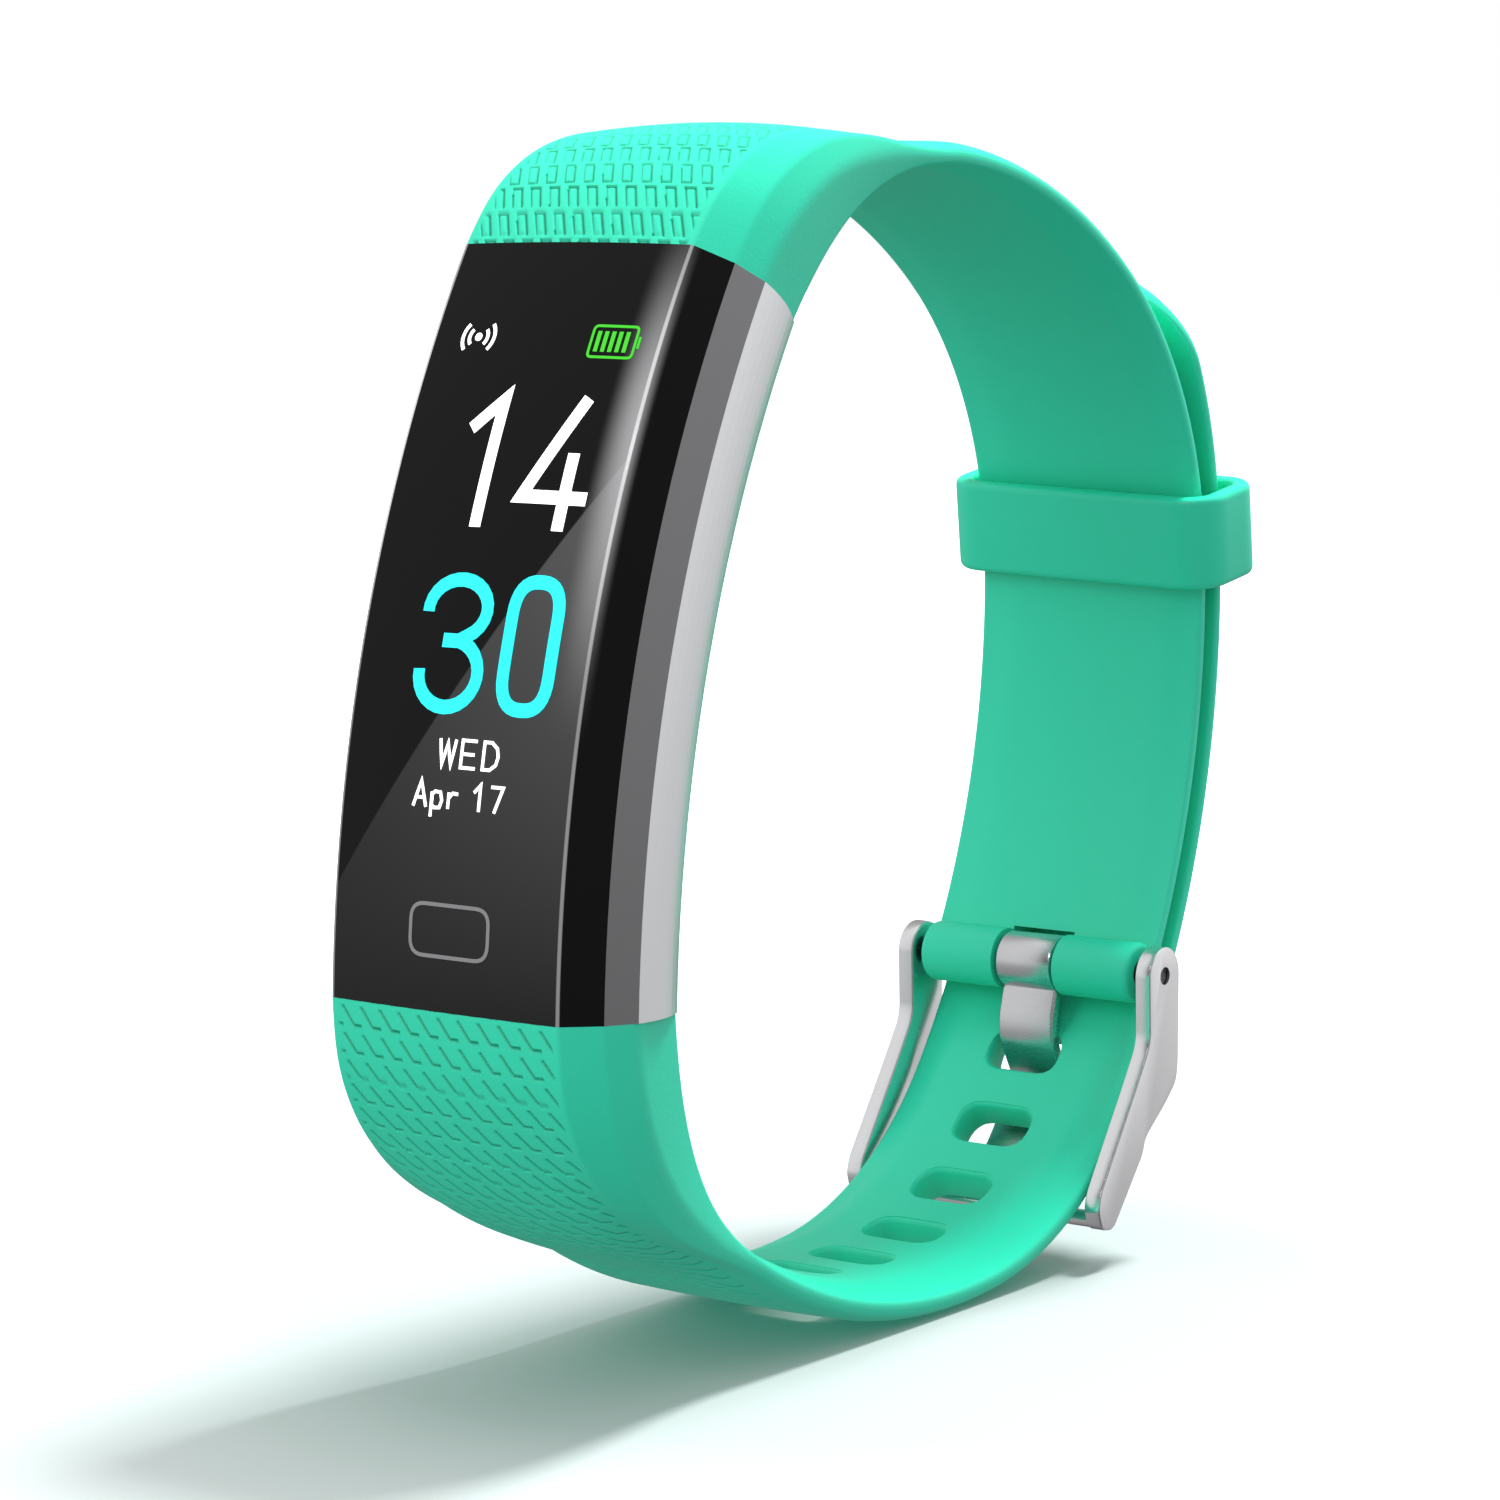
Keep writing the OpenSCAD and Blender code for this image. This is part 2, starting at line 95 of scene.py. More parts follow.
def along(arcs, p, a, s):
    """Place and direction at distance s along a chain of arcs."""
    for i, arc in enumerate(arcs):
        length, sign = arc_length(arc), np.sign(arc[1])
        last = i == len(arcs) - 1
        centre = arc_centre(p, a, arc)
        turn = sign * (s if s < length or last else length) / arc[0] * 180 / math.pi
        q = centre + sign * arc[0] * np.array([math.sin(rad(a + turn)), -math.cos(rad(a + turn))])
        if s < length or last:
            return q, a + turn
        p, a, s = q, a + turn, s - length


BUCKLE_L = sum(arc_length(a) for a in BUCKLE_ARCS)
HOLE_STRAP_L = sum(arc_length(a) for a in HOLE_ARCS)
REAR_S = BUCKLE_L - arc_length(BUCKLE_ARCS[3])


def buckle_place(s):
    return along(BUCKLE_ARCS, case_point(TOP_ANGLE, CASE_DEPTH), BUCKLE_START, s)


def hole_place(s):
    return along(HOLE_ARCS, case_point(BOTTOM_ANGLE, CASE_DEPTH), HOLE_START, s)


rear_p, rear_a = buckle_place(REAR_S)
REAR_CENTRE = arc_centre(rear_p, rear_a, BUCKLE_ARCS[3])
PIVOT = REAR_CENTRE + (REAR_R - 0.2) * direction(-28.3)

tube_lo, tube_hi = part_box("spring_bar_tube")
SHIFT = np.array([
    0.0, (tube_lo[1] + tube_hi[1]) / 2 / MM - PIVOT[0], (tube_lo[2] + tube_hi[2]) / 2 / MM - PIVOT[1],
])


def to_frame(points):
    """mm in the band's side-view frame, as (x, y, z), to metres in the row frame."""
    return (np.asarray(points, float) + SHIFT) * MM


# ---------------------------------------------------------------- meshes
def new_object(name, verts, faces, material, sharp=35.0):
    mesh = bpy.data.meshes.new(name)
    mesh.from_pydata([tuple(v) for v in verts], [], [tuple(int(i) for i in f) for f in faces])
    mesh.validate()
    mesh.materials.append(material)
    obj = bpy.data.objects.new(name, mesh)
    bpy.context.scene.collection.objects.link(obj)
    smooth(obj, sharp)
    return obj


def smooth(obj, sharp=35.0):
    mesh = obj.data
    mesh.polygons.foreach_set("use_smooth", [True] * len(mesh.polygons))
    mesh.set_sharp_from_angle(angle=rad(sharp))


def recalc(obj):
    bm = bmesh.new()
    bm.from_mesh(obj.data)
    bmesh.ops.recalc_face_normals(bm, faces=bm.faces)
    bm.to_mesh(obj.data)
    bm.free()


def apply_modifiers(obj):
    graph = bpy.context.evaluated_depsgraph_get()
    mesh = bpy.data.meshes.new_from_object(obj.evaluated_get(graph), depsgraph=graph)
    obj.modifiers.clear()
    obj.data = mesh


def loft(rings, loop=False):
    """Vertices and faces of rings joined one after the other; loop joins the last to the first."""
    rings = np.asarray(rings, float)
    n, m = rings.shape[:2]
    verts = rings.reshape(-1, 3)
    faces = []
    for i in range(n if loop else n - 1):
        a, b = i * m, ((i + 1) % n) * m
        faces += [(a + j, a + (j + 1) % m, b + (j + 1) % m, b + j) for j in range(m)]
    if not loop:
        faces.append(tuple(range(m - 1, -1, -1)))
        faces.append(tuple((n - 1) * m + j for j in range(m)))
    return verts, faces


def boolean(obj, cutter, operation="DIFFERENCE"):
    mod = obj.modifiers.new("cut", "BOOLEAN")
    mod.operation = operation
    mod.solver = "MANIFOLD"
    mod.object = cutter
    apply_modifiers(obj)
    bpy.data.objects.remove(cutter)


def rounded(points, cuts, steps=4, closed=True):
    """A polyline with each corner rounded; cuts are the lengths taken off each side of a corner."""
    pts = [np.asarray(p, float) for p in points]
    n = len(pts)
    out = []
    for i, p in enumerate(pts):
        if not closed and i in (0, n - 1):
            out.append(p)
            continue
        before, after = pts[i - 1], pts[(i + 1) % n]
        cut = cuts[i] if hasattr(cuts, "__len__") else cuts
        la, lb = np.linalg.norm(before - p), np.linalg.norm(after - p)
        a = p + (before - p) * min(cut / max(la, 1e-9), 0.46)
        b = p + (after - p) * min(cut / max(lb, 1e-9), 0.46)
        for k in range(steps + 1):
            t = k / steps
            out.append(a * (1 - t) ** 2 + p * 2 * t * (1 - t) + b * t * t)
    return np.array(out)


# ---------------------------------------------------------------- materials
def map_range(tree, value, lo, hi, to_lo=0.0, to_hi=1.0, kind="LINEAR"):
    node = tree.nodes.new("ShaderNodeMapRange")
    node.interpolation_type = kind
    for socket, number in (("From Min", lo), ("From Max", hi), ("To Min", to_lo), ("To Max", to_hi)):
        node.inputs[socket].default_value = number
    tree.links.new(value, node.inputs["Value"])
    return node.outputs["Result"]


def calculate(tree, operation, a, b):
    node = tree.nodes.new("ShaderNodeMath")
    node.operation = operation
    for socket, value in zip(node.inputs, (a, b)):
        if isinstance(value, float):
            socket.default_value = value
        else:
            tree.links.new(value, socket)
    return node.outputs["Value"]


def mix_colours(tree, factor, a, b, kind="MIX"):
    node = tree.nodes.new("ShaderNodeMix")
    node.data_type = "RGBA"
    node.blend_type = kind
    for socket, value in (("Factor", factor), ("A", a), ("B", b)):
        if isinstance(value, (float, tuple)):
            node.inputs[socket].default_value = value
        else:
            tree.links.new(value, node.inputs[socket])
    return node.outputs["Result"]


def srgb(r, g, b):
    def linear(c):
        c /= 255
        return c / 12.92 if c <= 0.04045 else ((c + 0.055) / 1.055) ** 2.4
    return (linear(r), linear(g), linear(b), 1.0)


def material(name, colour, rough, metal=0.0, coat=0.0, coat_rough=0.05, bump=0.0, bump_scale=900.0,
             mottle=0.0, stretch=(1, 1, 1), specular=0.5, emission=None, strength=0.0):
    """A Principled material of the given colour, with fine bump and a little uneven roughness."""
    mat = bpy.data.materials.new(name)
    mat.use_nodes = True
    tree = mat.node_tree
    shader = tree.nodes["Principled BSDF"]
    shader.inputs["Base Color"].default_value = colour
    shader.inputs["Roughness"].default_value = rough
    shader.inputs["Metallic"].default_value = metal
    shader.inputs["Coat Weight"].default_value = coat
    shader.inputs["Coat Roughness"].default_value = coat_rough
    shader.inputs["Specular IOR Level"].default_value = specular
    if emission:
        shader.inputs["Emission Color"].default_value = emission
        shader.inputs["Emission Strength"].default_value = strength
    if bump or mottle:
        coord = tree.nodes.new("ShaderNodeTexCoord")
        mapping = tree.nodes.new("ShaderNodeMapping")
        mapping.inputs["Scale"].default_value = stretch
        tree.links.new(coord.outputs["Object"], mapping.inputs["Vector"])
        noise = tree.nodes.new("ShaderNodeTexNoise")
        noise.inputs["Scale"].default_value = bump_scale
        noise.inputs["Detail"].default_value = 4.0
        tree.links.new(mapping.outputs["Vector"], noise.inputs["Vector"])
        if bump:
            node = tree.nodes.new("ShaderNodeBump")
            node.inputs["Strength"].default_value = bump
            node.inputs["Distance"].default_value = 0.00005
            tree.links.new(noise.outputs["Fac"], node.inputs["Height"])
            tree.links.new(node.outputs["Normal"], shader.inputs["Normal"])
        if mottle:
            spread = tree.nodes.new("ShaderNodeMapRange")
            spread.inputs["To Min"].default_value = max(rough - mottle, 0.02)
            spread.inputs["To Max"].default_value = rough + mottle
            tree.links.new(noise.outputs["Fac"], spread.inputs["Value"])
            tree.links.new(spread.outputs["Result"], shader.inputs["Roughness"])
    return mat


STRAP_GREEN = srgb(42, 224, 184)
# a darker green painted into the engraved grooves: painted shade
GROOVE_SHADE_GREEN = srgb(14, 150, 118)


def strap_material():
    """Soft green TPU; the engraved lines are painted darker, painted shade in the grooves."""
    mat = material("strap_tpu", STRAP_GREEN, 0.5, bump=0.25, bump_scale=5200.0, mottle=0.05)
    tree = mat.node_tree
    shader = tree.nodes["Principled BSDF"]
    groove_shade = tree.nodes.new("ShaderNodeAttribute")
    groove_shade.attribute_name = "groove_shade"
    colour = mix_colours(tree, groove_shade.outputs["Fac"], STRAP_GREEN, GROOVE_SHADE_GREEN)
    tree.links.new(colour, shader.inputs["Base Color"])
    return mat


STRAP = strap_material()
KEEPER_GREEN = material("keeper_tpu", STRAP_GREEN, 0.45, bump=0.25, bump_scale=5200.0, mottle=0.05)
GLASS = material("cover_glass", srgb(14, 14, 15), 0.09, mottle=0.01, bump_scale=60.0, specular=0.1)
BEZEL = material("dark_bezel", srgb(138, 138, 140), 0.34, metal=0.85, bump=0.08, bump_scale=3000.0,
                 mottle=0.04)
SILVER = material("silver_trim", srgb(226, 227, 229), 0.3, metal=0.9, bump=0.05, bump_scale=2400.0,
                  mottle=0.04)
BLACK = material("black_plastic", srgb(24, 24, 26), 0.5, bump=0.3, bump_scale=2600.0, mottle=0.08)
WINDOW = material("sensor_window", srgb(10, 12, 13), 0.08, coat=1.0)
BOARD = material("circuit_board", srgb(22, 92, 54), 0.5, bump=0.2, bump_scale=1800.0, mottle=0.1)
LED = material("sensor_led", srgb(120, 245, 130), 0.3, emission=srgb(60, 240, 90), strength=0.6)
CHIP = material("chip_plastic", srgb(28, 28, 30), 0.55, bump=0.2, mottle=0.06)
DISPLAY = material("display", srgb(16, 16, 20), 0.2, coat=0.6)
FLEX = material("flex_cable", srgb(190, 120, 40), 0.4, mottle=0.05)
COPPER = material("copper", srgb(205, 130, 80), 0.35, metal=1.0, mottle=0.06)
FOIL = material("battery_foil", srgb(190, 192, 196), 0.38, metal=0.9, bump=0.3, bump_scale=700.0, mottle=0.08)
MOTOR_STEEL = material("motor_steel", srgb(190, 190, 192), 0.3, metal=1.0, mottle=0.05)
MOTOR_WEIGHT = material("motor_weight", srgb(150, 140, 120), 0.42, metal=1.0, mottle=0.05)
GOLD = material("gold_contact", srgb(226, 186, 96), 0.28, metal=1.0, mottle=0.05)
STEEL = material("buckle_steel", srgb(234, 234, 236), 0.26, metal=1.0, bump=0.012, bump_scale=2400.0,
                 mottle=0.04)
TONGUE = material("tongue_steel", srgb(214, 214, 217), 0.27, metal=1.0, bump=0.02, bump_scale=420.0,
                  stretch=(1, 9, 9), mottle=0.06)
PIN = material("spring_bar_steel", srgb(96, 96, 98), 0.35, metal=1.0, mottle=0.05)
# grey print on the glass, lifted by a faint emission of its own: painted light
GREY_PRINT_PAINTED_GLOW = material("touch_key_print_painted_glow", srgb(120, 120, 122), 0.5, emission=srgb(120, 120, 122),
                      strength=0.35)
WHITE_GLOW = material("display_white", srgb(255, 255, 255), 0.5, emission=srgb(255, 255, 255), strength=1.2)
CYAN_GLOW = material("display_cyan", srgb(20, 120, 130), 0.5, emission=(0.01, 0.98, 1.0, 1.0), strength=1.05)
GREEN_GLOW = material("display_green", srgb(40, 120, 20), 0.5, emission=srgb(60, 214, 30), strength=0.9)

NODE_MATERIALS = {
    "cover_glass": GLASS, "bezel_frame": BEZEL, "side_trim_left": SILVER, "side_trim_right": SILVER,
    "back_cover": BLACK, "case_gasket": CHIP, "sensor_window": WINDOW, "sensor_board": BOARD,
    "sensor_leds": LED, "photodiode": CHIP, "display_panel": DISPLAY, "display_cable": FLEX,
    "touch_electrode": COPPER, "main_board": BOARD, "board_chips": CHIP, "battery": FOIL,
    "motor_can": MOTOR_STEEL, "motor_rotor": MOTOR_WEIGHT, "usb_plug": BLACK, "usb_contacts": GOLD,
    "end_tab": BLACK, "spring_bar_tube": PIN, "spring_bar_spring": PIN, "spring_bar_pin_left": PIN,
    "spring_bar_pin_right": PIN,
}
for node, mat in NODE_MATERIALS.items():
    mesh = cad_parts[node].data
    mesh.materials.clear()
    mesh.materials.append(mat)


# ---------------------------------------------------------------- straps
def ease(t):
    t = min(max(t, 0.0), 1.0)
    return (1 - math.cos(math.pi * t)) / 2


def mix(a, b, t):
    return a + (b - a) * t


# Half sections of a strap, as (half width, height above the inner face): the inner pillow, edge, waist,
# crest, corner of the flat, and middle
ROOT = [(BACK_X * 0.77, -0.04), (BACK_X, 0), (WAIST[0], CASE_DEPTH - WAIST[1]),
        (FACET[0], CASE_DEPTH - FACET[1]), (GLASS_W / 2, CASE_DEPTH), (0, CASE_DEPTH + CROWN)]
FLAT_COLUMNS = 190
UNDER_BULGE = 0.75
PILLOW_STEPS = 14
PILLOW_EDGE = 0.34
ENGRAVED = 0.14
ENGRAVED_HALF = 7.45


def blends(s):
    return [ease((s - 8) / 14), ease(s / 18), ease((s - 2) / 17), ease((s - 2.5) / 17), ease((s - 1.5) / 16),
            ease((s - 1.5) / 17)]


def half_section(thin, s):
    return [(mix(r[0], q[0], t), mix(r[1], q[1], t)) for r, q, t in zip(ROOT, thin, blends(s))]


def thin_section(w, pillow, side, t):
    return [(w * 0.77, -pillow), (w, 0), (w * 1.008, side * 0.5), (w * 0.994, side), (w * 0.88, t),
            (0, t + 0.1)]


def outline(half, s, bulge=0.0):
    """The closed section of a strap as (x, height), and which points lie on the outer flat."""
    inner, edge, waist, crest, flat, top = [np.array(p) for p in half]
    round_edge = mix(0.18, 0.4, ease(s / 20))
    corners = rounded([inner * (0.9, 1), edge, waist, crest, flat, flat * (0.9, 1) + (0, 0.01)],
                      [0, mix(0.3, 0.25, ease(s / 20)), 0.55, round_edge, round_edge, 0],
                      steps=5, closed=False)
    side = corners[1:-1]

    def inner_height(x):
        rise = ease((1 - x / side[0][0]) / PILLOW_EDGE)
        return inner[1] * rise + side[0][1] * (1 - rise)

    pillow = [(x, inner_height(x)) for x in side[0][0] * np.linspace(0, 1, PILLOW_STEPS, endpoint=False)]
    half_line = np.array(list(pillow) + [tuple(p) for p in side])
    w, h = side[-1]
    xs = np.linspace(w, -w, FLAT_COLUMNS + 1)[1:-1]
    crown = [(x, h + (top[1] - h) * (1 - (x / w) ** 2) + bulge * (1 - (x / w) ** 6)) for x in xs]
    mirror = [(-p[0], p[1]) for p in half_line[::-1]]
    line = np.array([tuple(p) for p in half_line] + crown + [tuple(p) for p in mirror[:-1]])
    first = len(half_line)
    return line, first, first + len(crown)


def parallelograms(x, u):
    """Depth of the engraved outlines on the buckle strap, 0 to 1, at x and outer arc length u."""
    pitch_u, length, pitch_x, width, shear, line = 1.83, 1.47, 1.28, 0.64, 0.8, 0.07
    v = (u - 0.45) % pitch_u
    c = (x + shear * v / length + 0.3) % pitch_x
    slope = math.cos(math.atan(shear / length))
    to_side = np.minimum(np.abs(c), np.abs(c - width)) * slope
    inside_x = (c > -0.05) & (c < width + 0.05)
    to_end = min(abs(v), abs(v - length))
    side = np.where(v <= length + 0.05, np.exp(-(to_side / line) ** 2), 0)
    end = np.where(inside_x, np.exp(-(to_end / line) ** 2), 0)
    return np.maximum(side, end)


def hooks(x, u):
    """Depth of the engraved hooks on the hole strap: a leaning stroke with a foot."""
    pitch_u, stroke, pitch_x, foot, shear, line = 1.48, 1.04, 1.32, 0.56, 0.77, 0.07
    v = (u - 0.35) % pitch_u
    c = (x - shear * v / stroke + 0.2 + pitch_x / 2) % pitch_x - pitch_x / 2
    to_stroke = np.abs(c) * math.cos(math.atan(shear / stroke))
    strokes = np.where(v <= stroke + 0.04, np.exp(-(to_stroke / line) ** 2), 0)
    f = (x - shear + 0.2) % pitch_x
    feet = np.where(f < foot, np.exp(-((v - stroke) / line) ** 2), 0)
    return np.maximum(strokes, feet)


def strap_rings(kind, stations):
    """Rings of points along a strap, with the engraved depth of each point."""
    rings, depths = [], []
    sign = 1 if kind == "buckle" else -1
    length = BUCKLE_L if kind == "buckle" else HOLE_STRAP_L
    last, u = None, 0.0
    for s in stations:
        if kind == "buckle":
            place, a = buckle_place(s)
            n = a + 90 + (TOP_ANGLE - BUCKLE_START - 90) * max(0, 1 - s / 8)
            t = mix(1.2, 1.8, ease((s - 45) / 14))
            thin = thin_section(7.85, 0.3, 0.75, t)
        else:
            place, a = hole_place(s)
            n = a - 90 + (BOTTOM_ANGLE - HOLE_START - 270) * max(0, 1 - s / 8)
            tip = max(0.0, s - (length - 6)) / 6
            w = 7.7 * (0.25 + 0.75 * math.sqrt(max(0.0, 1 - tip * tip)))
            pillow = mix(0.85, 0.2, ease((s - 60) / 6))
            thin = thin_section(w, pillow, mix(0.9, 0.62, ease((s - 50) / 12)), 1.25)
        swell = UNDER_BULGE * ease((s - 4) / 8) * (1 - ease((s - 13) / 14)) if kind == "hole" else 0.0
        line, first, last_flat = outline(half_section(thin, s), s, swell)
        d = direction(n)
        mid = place + d * line[(first + last_flat) // 2][1]
        u += 0 if last is None else np.linalg.norm(mid - last)
        last = mid
        depth = np.zeros(len(line))
        x = line[first:last_flat, 0]
        if kind == "buckle":
            fade = 1 - ease((s - 21) / 3)
            depth[first:last_flat] = parallelograms(x, u) * fade * mix(1, 0.6, ease(s / 10))
        else:
            fade = 1 - ease((s - 24) / 3)
            depth[first:last_flat] = hooks(sign * x, u) * fade
        limit = np.clip((ENGRAVED_HALF - np.abs(x) * GLASS_W / 2 / max(abs(x[0]), 1e-6)) / 0.2, 0, 1)
        depth[first:last_flat] *= limit
        h = line[:, 1] - depth * ENGRAVED
        ring = np.column_stack([sign * line[:, 0], place[0] + h * d[0], place[1] + h * d[1]])
        rings.append(ring)
        depths.append(depth)
    return to_frame(rings), np.array(depths)


def stations(length, fine_to, fine, coarse):
    """Distances along a strap: close together on the engraved part, wider after it."""
    rest = np.linspace(fine_to, length, int((length - fine_to) / coarse))
    return list(np.arange(0, fine_to, fine)) + list(rest)


def add_depths(obj, depths):
    # the engraved depth also sets how much painted groove shade the strap colour takes
    layer = obj.data.attributes.new("groove_shade", "FLOAT", "POINT")
    layer.data.foreach_set("value", depths.reshape(-1).astype(np.float32))


def prism(name, polygon, x0, x1, mat, place=PIVOT):
    """A side-view outline extruded across the band from x0 to x1."""
    polygon = np.asarray(polygon, float)
    rings = [[(x, place[0] + p[0], place[1] + p[1]) for p in polygon] for x in (x0, x1)]
    obj = new_object(name, *loft(to_frame(rings)), mat)
    recalc(obj)
    return obj


def circle(r, n=64, centre=(0, 0), start=0.0, turn=360.0):
    angles = [rad(start + turn * i / n) for i in range(n if turn == 360 else n + 1)]
    return [(centre[0] + r * math.cos(a), centre[1] + r * math.sin(a)) for a in angles]


def turned(name, profile, mat, place=PIVOT, n=96):
    """A solid of revolution across the band; profile is (x, radius)."""
    turns = [2 * math.pi * k / n for k in range(n)]
    rings = [[(x, place[0] + r * math.cos(a), place[1] + r * math.sin(a)) for a in turns] for x, r in profile]
    obj = new_object(name, *loft(to_frame(rings)), mat)
    recalc(obj)
    return obj


def through(r):
    """The profile of a cutter that passes right through the band."""
    return [(-20, r), (20, r)]


def buckle_strap():
    rings, depths = strap_rings("buckle", stations(BUCKLE_L, 24, 0.09, 0.6))
    obj = new_object("Strap_Buckle", *loft(rings), STRAP)
    add_depths(obj, depths)
    recalc(obj)
    r, e = BARREL_R, 0.35
    arc = [(BARREL_HALF - e + e * math.sin(rad(a)), r - e + e * math.cos(rad(a))) for a in range(0, 91, 15)]
    profile = [(-x, y) for x, y in arc[::-1]] + arc
    boolean(obj, turned("barrel", profile, STRAP), "UNION")
    notch = rounded([(-5, -5), (5, -5), (5, 1.9), (-5, 1.9)], 0.3)
    boolean(obj, prism("notch", notch, -NOTCH_HALF, NOTCH_HALF, STRAP))
    boolean(obj, turned("bore", through(STRAP_BORE_R), STRAP))
    smooth(obj, 32)
    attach(obj, "tracker")
    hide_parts("buckle_strap")
    return obj


def slot_cutter(s):
    place, a = hole_place(s)
    d, tangent = direction(a - 90), direction(a)
    rings = []
    flare = 0.22
    heights = [(-3, 1), (-0.85, 1), (-0.8, 0.6), (-0.7, 0.25), (-0.55, 0), (0.95, 0), (1.1, 0.25), (1.2, 0.6),
               (1.26, 1), (4, 1)]
    for h, f in heights:
        grow = flare * f
        w, l, r = HOLE_W / 2 + grow, HOLE_L / 2 + grow, HOLE_L * 0.38 + grow
        loop = rounded([(-w, -l), (w, -l), (w, l), (-w, l)], r * 1.2, steps=8)
        rings.append([(q[0], *(place + d * h + tangent * q[1])) for q in loop])
    obj = new_object("slot", *loft(to_frame(rings)), STRAP)
    recalc(obj)
    return obj


def hole_strap():
    rings, depths = strap_rings("hole", stations(HOLE_STRAP_L, 27, 0.09, 0.5))
    obj = new_object("Strap_Holes", *loft(rings), STRAP)
    add_depths(obj, depths)
    recalc(obj)
    for i in range(HOLE_COUNT):
        boolean(obj, slot_cutter(FIRST_HOLE + i * HOLE_PITCH))
    smooth(obj, 32)
    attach(obj, "tracker")
    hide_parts("hole_strap")
    return obj


# ---------------------------------------------------------------- keeper
def rounded_rectangle(w, h, r, n=10, straight=8):
    """Points round a rectangle of width w and height h, the same count whatever r is."""
    out = []
    for k, (sx, sy) in enumerate([(1, 1), (-1, 1), (-1, -1), (1, -1)]):
        c = np.array([sx * (w / 2 - r), sy * (h / 2 - r)])
        arc = [c + r * np.array([math.cos(rad(90 * k + 90 * i / n)), math.sin(rad(90 * k + 90 * i / n))])
               for i in range(n + 1)]
        out += arc
        nx, ny = [(-1, 1), (-1, -1), (1, -1), (1, 1)][k]
        q = np.array([nx * (w / 2 - r), ny * (h / 2 - r)])
        end = q + r * np.array([math.cos(rad(90 * (k + 1))), math.sin(rad(90 * (k + 1)))])
        out += [mix(arc[-1], end, i / straight) for i in range(1, straight)]
    return np.array(out)


def keeper():
    inside, outside = REAR_R - 0.3 - 0.45, REAR_R + 2.3 + 1.25 + 0.45
    half, wall, tall, fillet = 7.85 + 0.45, 1.2, 5.7, 0.5
    inner = rounded_rectangle(outside - inside, 2 * half, 0.9)
    outer = rounded_rectangle(outside - inside + 2 * wall, 2 * (half + wall), 2.4)
    section = rounded([(0, -tall / 2), (wall, -tall / 2), (wall, tall / 2), (0, tall / 2)], fillet, steps=6)
    tilt, roll = rad(4.5), rad(2.0)
    radial, up = direction(4.9), direction(94.9)
    centre = REAR_CENTRE + radial * (inside + outside) / 2
    rings = []
    for k in range(len(inner)):
        ring = []
        for depth, z in section:
            p = mix(inner[k], outer[k], depth / wall)
            # slab x is radial, slab y runs across the band, the extrusion runs down the strap
            v = np.array([p[0], -z, p[1]])
            v = np.array([v[0], v[1] * math.cos(roll) - v[2] * math.sin(roll),
                          v[1] * math.sin(roll) + v[2] * math.cos(roll)])
            v = np.array([v[0] * math.cos(tilt) - v[1] * math.sin(tilt),
                          v[0] * math.sin(tilt) + v[1] * math.cos(tilt), v[2]])
            q = centre + radial * v[0] + up * v[1]
            ring.append((v[2], q[0], q[1]))
        rings.append(ring)
    obj = new_object("Keeper_Loop", *loft(to_frame(rings), loop=True), KEEPER_GREEN)
    recalc(obj)
    smooth(obj, 40)
    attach(obj, "keeper")
    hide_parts("keeper")


# ---------------------------------------------------------------- buckle
ARM = [(-1.75, 0), (-1.62, -4), (-3.1, -6.3), (-7.1, -12.2), (-7.35, -13.2), (-6.9, -14.4), (-5.6, -14.6),
       (-2.3, -10.6), (-1.95, -9.6), (0.4, -7.8), (1.55, -6.7), (1.75, -5.6), (1.75, 0)]
ARM_CUTS = [0.01, 0.8, 0.8, 0.5, 0.4, 0.5, 0.5, 0.4, 0.4, 0.5, 0.5, 0.5, 0.01]
ARM_IN, ARM_OUT, ARM_END_R, ARM_HOLE_R = 8.05, 9.15, 1.75, 0.54
BAR_AT, BAR_HALF, BAR_R = (-6.2, -13.95), 8.3, 0.5
TONGUE_HALF_W, TONGUE_HALF_T, RING_R, RING_BORE_R = 1.95, 0.4, 1.75, 0.92
TONGUE_PATH = [(-0.3, -1.2), (-0.65, -2.4), (-0.9, -3.5), (-0.88, -4.5), (-0.5, -5.4), (0, -6.3), (0.4, -7.1),
               (0.45, -7.9), (0.05, -8.7), (-0.8, -9.6), (-2.1, -11.1), (-3.7, -12.9), (-5.4, -15)]


def bevel(obj, width, segments=3, angle=30.0):
    mod = obj.modifiers.new("bevel", "BEVEL")
    mod.width = width * MM
    mod.segments = segments
    mod.limit_method = "ANGLE"
    mod.angle_limit = rad(angle)
    mod.harden_normals = False
    apply_modifiers(obj)


def buckle_arm(side):
    cap = circle(ARM_END_R, 24, start=0, turn=180)
    lower = rounded(ARM, ARM_CUTS, steps=5, closed=False)
    polygon = list(lower[1:-1]) + cap[:-1] + [(-ARM_END_R, 0)]
    x0, x1 = sorted((side * ARM_IN, side * ARM_OUT))
    obj = prism("Buckle_Arm_" + ("Right" if side > 0 else "Left"), polygon, x0, x1, STEEL)
    bevel(obj, 0.17)
    boolean(obj, turned("hole", through(ARM_HOLE_R), STEEL))
    smooth(obj, 28)
    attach(obj, "buckle_frame")
    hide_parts("buckle_frame")


def buckle_bar():
    profile = [(-BAR_HALF, BAR_R), (BAR_HALF, BAR_R)]
    obj = turned("Buckle_Bar", profile, STEEL, place=PIVOT + np.array(BAR_AT), n=48)
    smooth(obj, 40)
    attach(obj, "buckle_frame")
    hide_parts("buckle_frame")


